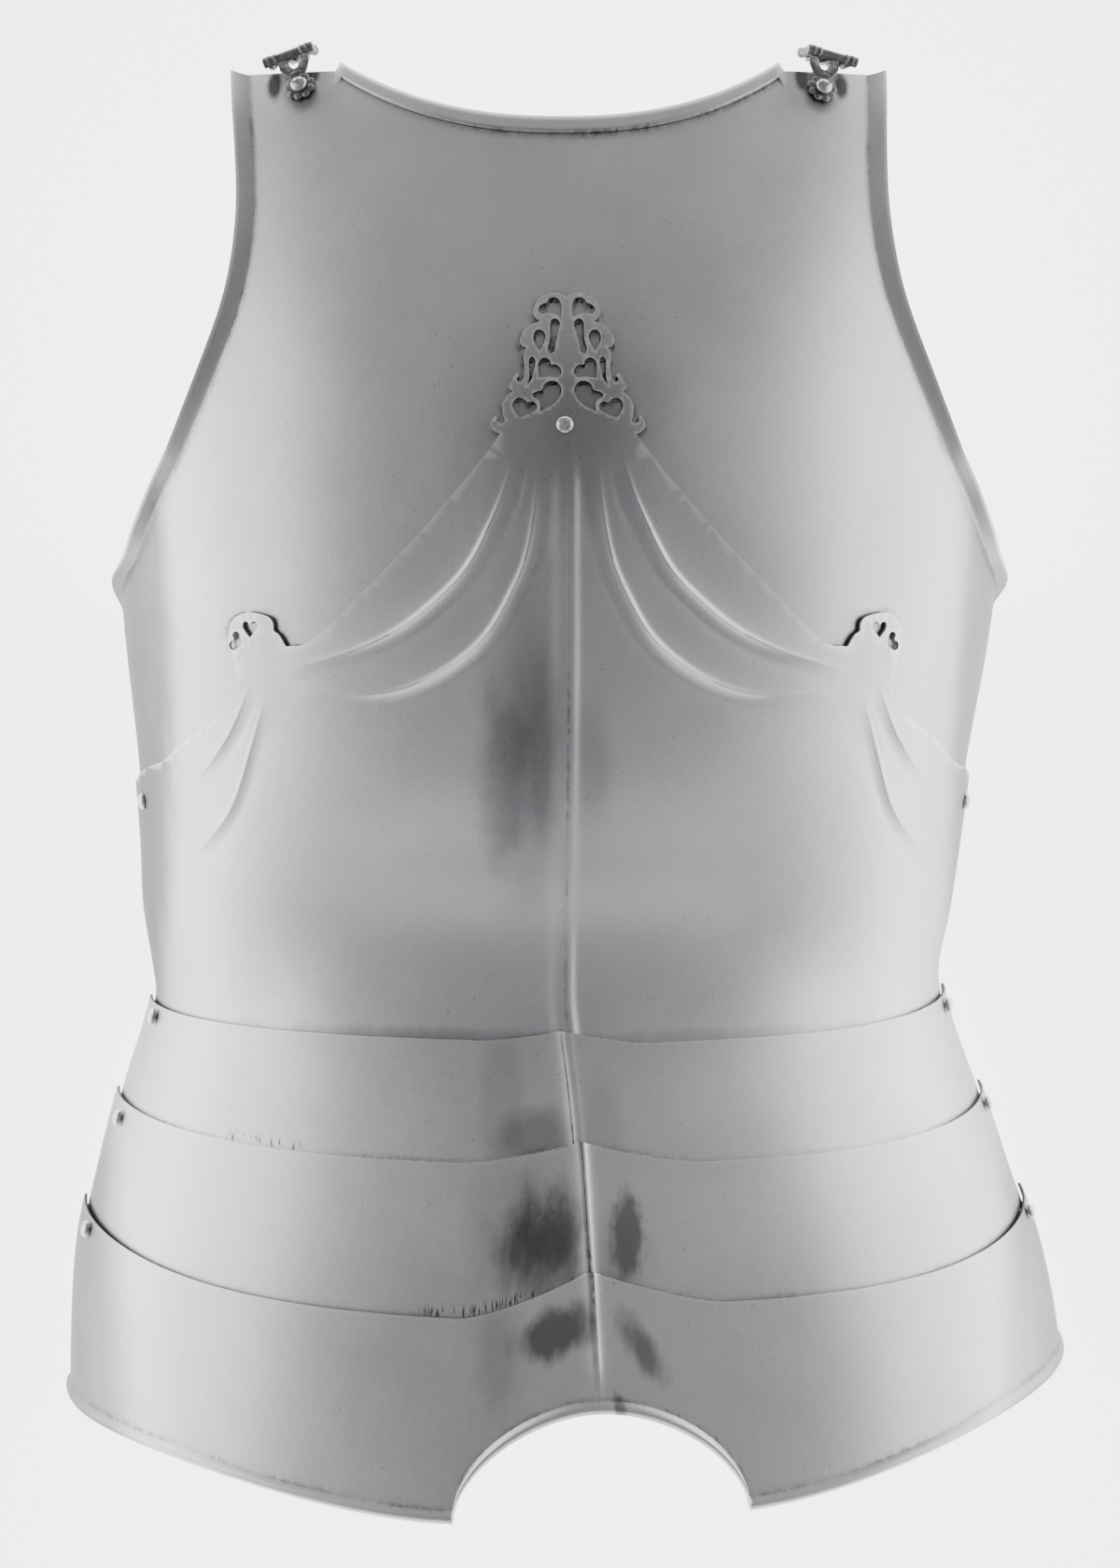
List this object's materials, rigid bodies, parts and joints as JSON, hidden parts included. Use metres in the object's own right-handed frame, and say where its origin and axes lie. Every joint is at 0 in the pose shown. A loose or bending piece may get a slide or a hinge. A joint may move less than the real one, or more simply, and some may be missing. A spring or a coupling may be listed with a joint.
{
  "type": "breastplate",
  "caption": "Steel cuirass breastplate: a curved chest plate with a pierced and fluted lower overlay, articulated hip lames below and shoulder buckles above.",
  "frame": {"origin": "centre of the footprint, on the surface that the piece lies on, face up", "axes": "+X to the right as seen from the front, which is the wearer's left, +Y towards the neck, +Z out of the chest"},
  "size_m": [0.4422, 0.6009, 0.1826],
  "materials": {
    "plate_steel": "satin brushed steel sheet with a fine grain",
    "cast_steel": "dull grey cast steel",
    "rivet_steel": "polished steel rivet heads"
  },
  "bodies": {
    "breast": {"chest_plate": "plate_steel", "plackart": "plate_steel", "rivet_plackart_centre": "rivet_steel", "rivet_plackart_left": "rivet_steel", "rivet_plackart_right": "rivet_steel", "rivet_lame_upper_left": "rivet_steel", "rivet_lame_upper_right": "rivet_steel", "buckle_plate_left": "cast_steel", "buckle_plate_right": "cast_steel", "rivet_buckle_left": "rivet_steel", "rivet_buckle_right": "rivet_steel"},
    "lame_upper": {"fauld_lame_upper": "plate_steel", "rivet_lame_middle_left": "rivet_steel", "rivet_lame_middle_right": "rivet_steel"},
    "lame_middle": {"fauld_lame_middle": "plate_steel", "rivet_lame_lower_left": "rivet_steel", "rivet_lame_lower_right": "rivet_steel"},
    "lame_lower": {"fauld_lame_lower": "plate_steel"},
    "strap_frame_left": {"buckle_frame_left": "cast_steel"},
    "strap_frame_right": {"buckle_frame_right": "cast_steel"},
    "strap_tongue_left": {"buckle_tongue_left": "cast_steel"},
    "strap_tongue_right": {"buckle_tongue_right": "cast_steel"}
  },
  "joints": [
    {"name": "lame_upper_pivot", "type": "hinge", "parent": "breast", "child": "lame_upper", "pos_m": [-0.00693, -0.1168, 0.03819], "axis": [-0.9999, -0.0155, 0.0008], "range_deg": [0, 4]},
    {"name": "lame_middle_pivot", "type": "hinge", "parent": "lame_upper", "child": "lame_middle", "pos_m": [-0.006, -0.1606, 0.04209], "axis": [-0.9999, -0.0155, 0.0014], "range_deg": [0, 4]},
    {"name": "lame_lower_pivot", "type": "hinge", "parent": "lame_middle", "child": "lame_lower", "pos_m": [-0.00375, -0.2078, 0.04593], "axis": [-0.9999, -0.0155, 0.0009], "range_deg": [0, 4]},
    {"name": "frame_left_hinge", "type": "hinge", "parent": "breast", "child": "strap_frame_left", "pos_m": [-0.1175, 0.29464, 0.08077], "axis": [0.9369, 0.3226, 0.1348], "range_deg": [-150, 0]},
    {"name": "frame_right_hinge", "type": "hinge", "parent": "breast", "child": "strap_frame_right", "pos_m": [0.10666, 0.29421, 0.08135], "axis": [0.9512, -0.2372, -0.1977], "range_deg": [-150, 0]},
    {"name": "tongue_left_hinge", "type": "hinge", "parent": "strap_frame_left", "child": "strap_tongue_left", "pos_m": [-0.1175, 0.29464, 0.08077], "axis": [0.9369, 0.3226, 0.1348], "range_deg": [0, 7]},
    {"name": "tongue_right_hinge", "type": "hinge", "parent": "strap_frame_right", "child": "strap_tongue_right", "pos_m": [0.10666, 0.29421, 0.08135], "axis": [0.9512, -0.2372, -0.1977], "range_deg": [0, 7]}
  ]
}
